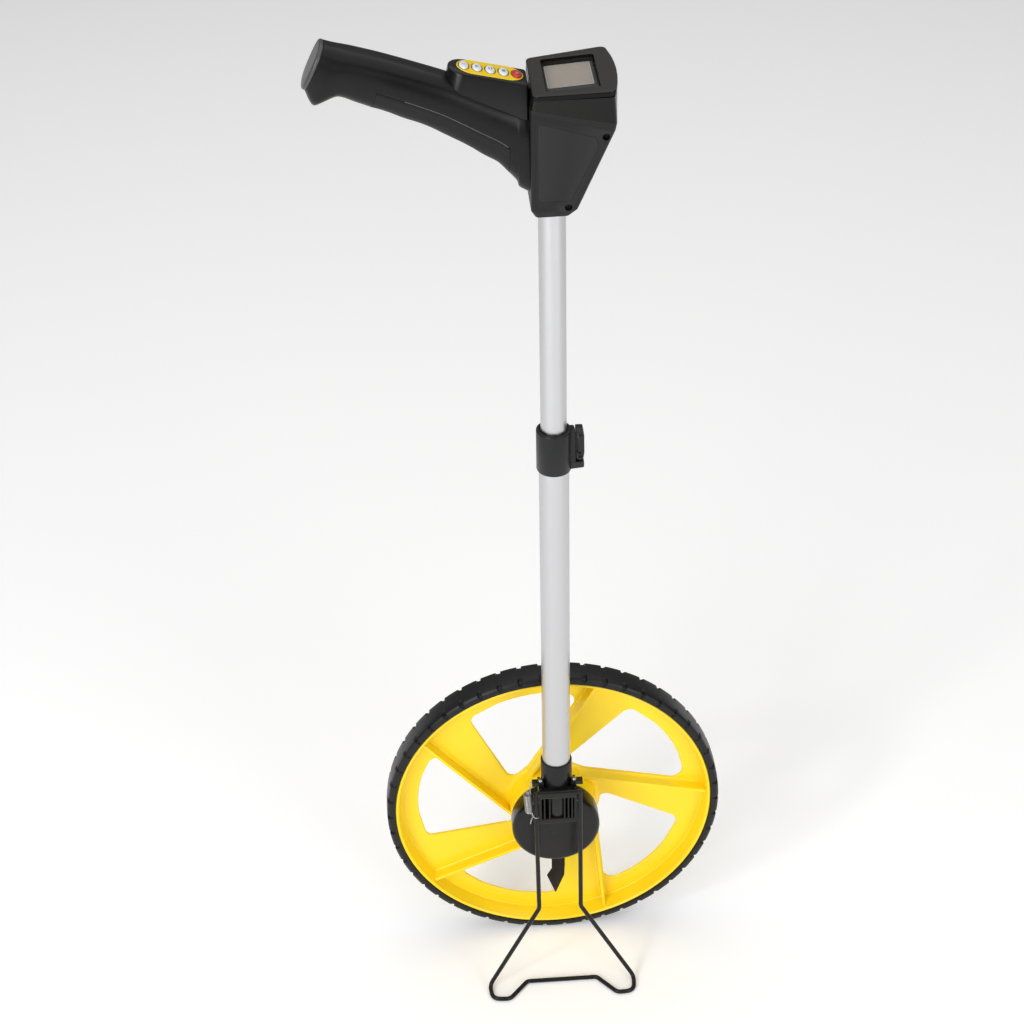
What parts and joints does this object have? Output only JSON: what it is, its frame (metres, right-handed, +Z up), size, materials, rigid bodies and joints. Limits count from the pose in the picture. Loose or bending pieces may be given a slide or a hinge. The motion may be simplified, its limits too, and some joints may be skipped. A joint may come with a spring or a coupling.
{
  "type": "measuring wheel",
  "caption": "Digital distance-measuring wheel: treaded spoked wheel on a telescopic pole with a clamp lever, display head, keypad handle and fold-up wire stand.",
  "frame": {"origin": "centre of the bounding box at the ground", "axes": "+Z up along the pole, +X the direction of travel, away from the handle, +Y along the axle from the pole to the wheel"},
  "size_m": [0.346, 0.1298, 0.9613],
  "materials": {
    "black_plastic": "semi-gloss moulded, fine texture",
    "satin_black": "satin",
    "yellow_plastic": "semi-gloss moulded",
    "tyre_rubber": "matte tread rubber",
    "grip_rubber": "matte soft grip",
    "aluminium": "satin anodised, faint drawn lines",
    "steel": "bright zinc plated",
    "coated_wire": "black powder coat",
    "grey_plastic": "glossy",
    "white_plastic": "glossy",
    "red_plastic": "glossy",
    "nylon": "natural nylon",
    "circuit_board": "solder mask",
    "window": "clear hard-coated window",
    "lcd": "unlit grey-brown liquid crystal",
    "cell_sleeve": "plain sleeve"
  },
  "bodies": {
    "frame": {"hub_housing": "black_plastic", "housing_cover": "satin_black", "direction_pointer": "black_plastic", "sensor_board": "circuit_board", "reed_switch": "window", "stand_bracket": "black_plastic", "bracket_screw_left": "steel", "bracket_screw_right": "steel", "axle_bolt": "steel", "axle_washer": "steel", "axle_nut": "steel", "lower_tube": "aluminium", "guide_liner": "nylon", "signal_cable": "satin_black", "clamp_collar": "black_plastic", "clamp_pad": "nylon", "lever_pin": "steel"},
    "wheel": {"wheel_rim": "yellow_plastic", "tyre": "tyre_rubber", "bearing_front": "steel", "bearing_rear": "steel", "magnet_1": "steel", "magnet_2": "steel", "magnet_3": "steel", "magnet_4": "steel"},
    "stand": {"kickstand": "coated_wire", "stand_spring": "steel"},
    "lever": {"clamp_lever": "black_plastic"},
    "upper_pole": {"upper_tube": "aluminium", "tube_glide": "nylon", "pole_socket": "satin_black", "head_shell_near": "black_plastic", "head_shell_far": "black_plastic", "battery_door": "black_plastic", "head_screw_upper": "steel", "head_screw_lower": "steel", "display_bezel": "black_plastic", "display_window": "window", "lcd_module": "lcd", "main_board": "circuit_board", "battery_holder": "satin_black", "battery_1": "cell_sleeve", "battery_2": "cell_sleeve", "handle_shell_near": "black_plastic", "handle_shell_far": "black_plastic", "grip_insert": "grip_rubber", "handle_end_cap": "grey_plastic", "keypad_pod": "black_plastic", "keypad_label": "yellow_plastic", "keypad_board": "circuit_board"},
    "key_1": {"button_1": "white_plastic"},
    "key_2": {"button_2": "white_plastic"},
    "key_3": {"button_3": "white_plastic"},
    "key_4": {"button_4": "white_plastic"},
    "key_5": {"button_5": "red_plastic"}
  },
  "joints": [
    {"name": "wheel_spin", "type": "hinge", "parent": "frame", "child": "wheel", "pos_m": [0.0137, 0.04387, 0.15915], "axis": [0, 1, 0], "continuous": true},
    {"name": "stand_fold", "type": "hinge", "parent": "frame", "child": "stand", "pos_m": [0.0137, -0.01763, 0.2225], "axis": [-1, 0, 0], "range_deg": [0, 168], "deforming": ["stand_spring"]},
    {"name": "pole_slide", "type": "slide", "parent": "frame", "child": "upper_pole", "axis": [0, 0, 1], "range_m": [-0.185, 0.095], "deforming": ["signal_cable"]},
    {"name": "lever_flip", "type": "hinge", "parent": "frame", "child": "lever", "pos_m": [0.0352, -0.00243, 0.587], "axis": [0, 1, 0], "range_deg": [0, 95]},
    {"name": "key_1_press", "type": "slide", "parent": "upper_pole", "child": "key_1", "axis": [-0.2233, 0, -0.9748], "range_m": [0, 0.0008], "stiffness_N_per_m": 500, "springref_m": -0.0006},
    {"name": "key_2_press", "type": "slide", "parent": "upper_pole", "child": "key_2", "axis": [-0.2233, 0, -0.9748], "range_m": [0, 0.0008], "stiffness_N_per_m": 500, "springref_m": -0.0006},
    {"name": "key_3_press", "type": "slide", "parent": "upper_pole", "child": "key_3", "axis": [-0.2233, 0, -0.9748], "range_m": [0, 0.0008], "stiffness_N_per_m": 500, "springref_m": -0.0006},
    {"name": "key_4_press", "type": "slide", "parent": "upper_pole", "child": "key_4", "axis": [-0.2233, 0, -0.9748], "range_m": [0, 0.0008], "stiffness_N_per_m": 500, "springref_m": -0.0006},
    {"name": "key_5_press", "type": "slide", "parent": "upper_pole", "child": "key_5", "axis": [-0.2233, 0, -0.9748], "range_m": [0, 0.0008], "stiffness_N_per_m": 500, "springref_m": -0.0006}
  ]
}
